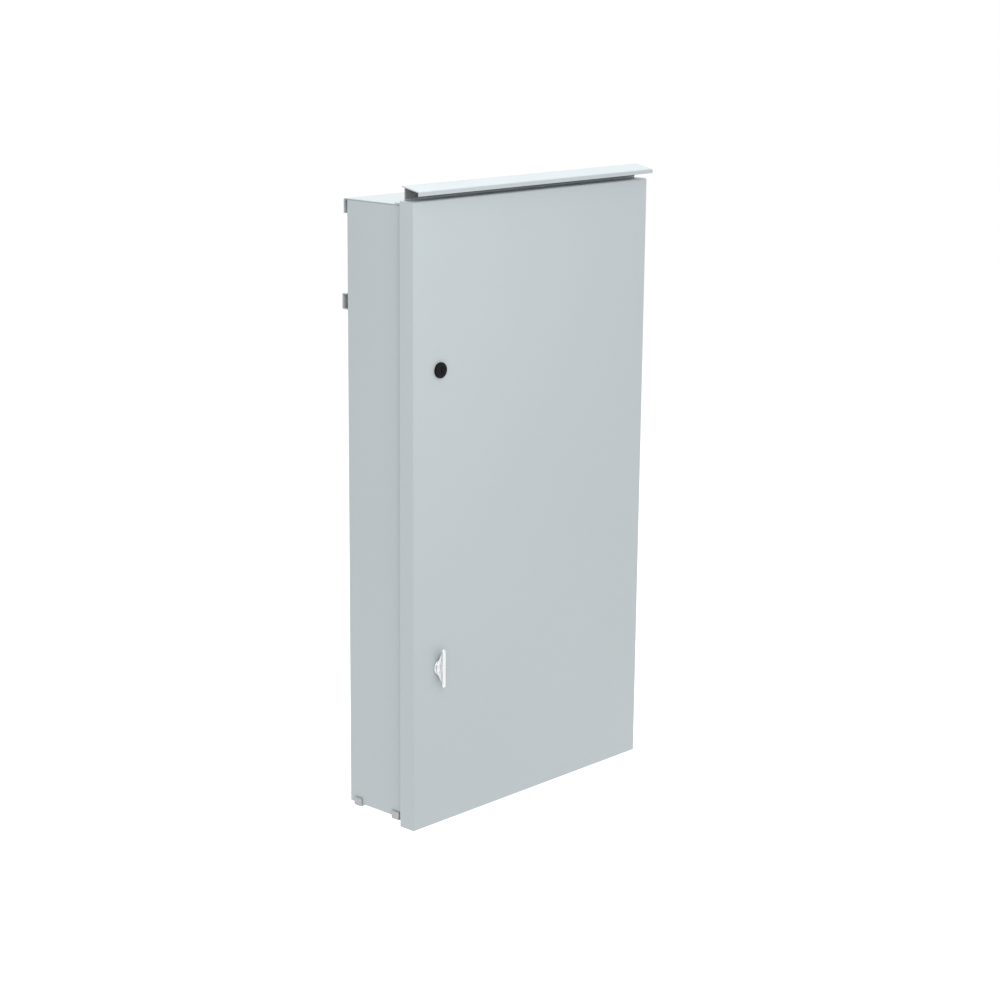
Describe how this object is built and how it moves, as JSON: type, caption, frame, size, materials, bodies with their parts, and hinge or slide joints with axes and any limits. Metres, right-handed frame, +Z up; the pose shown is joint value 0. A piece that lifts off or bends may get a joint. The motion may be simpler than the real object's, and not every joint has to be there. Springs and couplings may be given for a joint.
{
  "type": "fire alarm control panel",
  "caption": "Wall-mounted fire alarm control panel in a raintight steel cabinet: drip hood, hinged lockable door, display, keys, boards and standby batteries.",
  "frame": {"origin": "middle of the upper wall rail's rear face, on the wall", "axes": "+X to the right seen from the front, +Y into the wall, +Z up"},
  "size_m": [0.4925, 0.158, 0.92],
  "materials": {
    "cabinet_paint": "satin powder coat, fine texture",
    "dark_steel": "semi-matt",
    "zinc_steel": "zinc plated",
    "chrome": "polished",
    "brass": "satin",
    "black_plastic": "fine moulded texture",
    "grey_plastic": "fine moulded texture",
    "red_plastic": "fine moulded texture",
    "rubber": "matt",
    "circuit_board": "solder mask, satin",
    "cover_paint": "textured powder coat",
    "clear_window": "polished",
    "display": "smooth",
    "green_terminals": "moulded",
    "copper_winding": "varnished enamelled wire",
    "battery_case": "moulded"
  },
  "bodies": {
    "cabinet": {"body_wrapper": "cabinet_paint", "end_plate_top": "cabinet_paint", "end_plate_bottom": "cabinet_paint", "roof_cap": "cabinet_paint", "drip_hood": "cabinet_paint", "hinge_leaf_cabinet": "cabinet_paint", "wall_rail_upper": "dark_steel", "wall_rail_lower": "dark_steel", "transformer_core": "dark_steel", "hinge_pin": "zinc_steel", "mounting_plate": "zinc_steel", "stud_lower_left": "zinc_steel", "stud_lower_right": "zinc_steel", "stud_upper_left": "zinc_steel", "stud_upper_right": "zinc_steel", "power_supply_case": "zinc_steel", "battery_tray": "zinc_steel", "battery_strap": "zinc_steel", "cover_screw_left": "zinc_steel", "cover_screw_right": "zinc_steel", "earth_bar": "brass", "conduit_plug_left": "black_plastic", "conduit_plug_right": "black_plastic", "mains_terminals": "black_plastic", "fuse_holder": "black_plastic", "tamper_switch": "black_plastic", "wire_duct": "grey_plastic", "foot_rear_left": "rubber", "foot_rear_right": "rubber", "foot_front_left": "rubber", "foot_front_right": "rubber", "main_board": "circuit_board", "loop_card": "circuit_board", "power_supply_board": "circuit_board", "display_board": "circuit_board", "control_cover": "cover_paint", "display_window": "clear_window", "display_module": "display", "loop_terminals": "green_terminals", "transformer_coil": "copper_winding", "battery_left": "battery_case", "battery_right": "battery_case"},
    "door": {"door_pan": "cabinet_paint", "door_gasket": "rubber", "door_stiffener": "cabinet_paint", "document_pocket": "grey_plastic", "hinge_leaf_door": "cabinet_paint", "lock_housing": "black_plastic", "lock_nut": "zinc_steel", "latch_collar": "chrome", "latch_nut": "zinc_steel"},
    "lock_rotor": {"lock_plug": "black_plastic", "lock_cam": "zinc_steel"},
    "latch_rotor": {"latch_handle": "chrome", "latch_cam": "zinc_steel"},
    "acknowledge_key": {"button_acknowledge": "grey_plastic"},
    "silence_key": {"button_silence": "grey_plastic"},
    "reset_key": {"button_reset": "grey_plastic"},
    "drill_key": {"button_drill": "red_plastic"},
    "tamper_pin": {"tamper_plunger": "red_plastic"}
  },
  "joints": [
    {"name": "door_hinge", "type": "hinge", "parent": "cabinet", "child": "door", "pos_m": [0.244, -0.116, -0.3], "axis": [0, 0, 1], "range_deg": [0, 120]},
    {"name": "key_lock_turn", "type": "hinge", "parent": "door", "child": "lock_rotor", "pos_m": [-0.194, -0.147, -0.085], "axis": [0, 1, 0], "range_deg": [0, 90]},
    {"name": "wing_latch_turn", "type": "hinge", "parent": "door", "child": "latch_rotor", "pos_m": [-0.194, -0.147, -0.514], "axis": [0, 1, 0], "range_deg": [0, 90]},
    {"name": "acknowledge_press", "type": "slide", "parent": "cabinet", "child": "acknowledge_key", "axis": [0, 1, 0], "range_m": [0, 0.0012], "stiffness_N_per_m": 600},
    {"name": "silence_press", "type": "slide", "parent": "cabinet", "child": "silence_key", "axis": [0, 1, 0], "range_m": [0, 0.0012], "stiffness_N_per_m": 600},
    {"name": "reset_press", "type": "slide", "parent": "cabinet", "child": "reset_key", "axis": [0, 1, 0], "range_m": [0, 0.0012], "stiffness_N_per_m": 600},
    {"name": "drill_press", "type": "slide", "parent": "cabinet", "child": "drill_key", "axis": [0, 1, 0], "range_m": [0, 0.0012], "stiffness_N_per_m": 600},
    {"name": "tamper_press", "type": "slide", "parent": "cabinet", "child": "tamper_pin", "axis": [0, 1, 0], "range_m": [0, 0.002], "stiffness_N_per_m": 400}
  ]
}
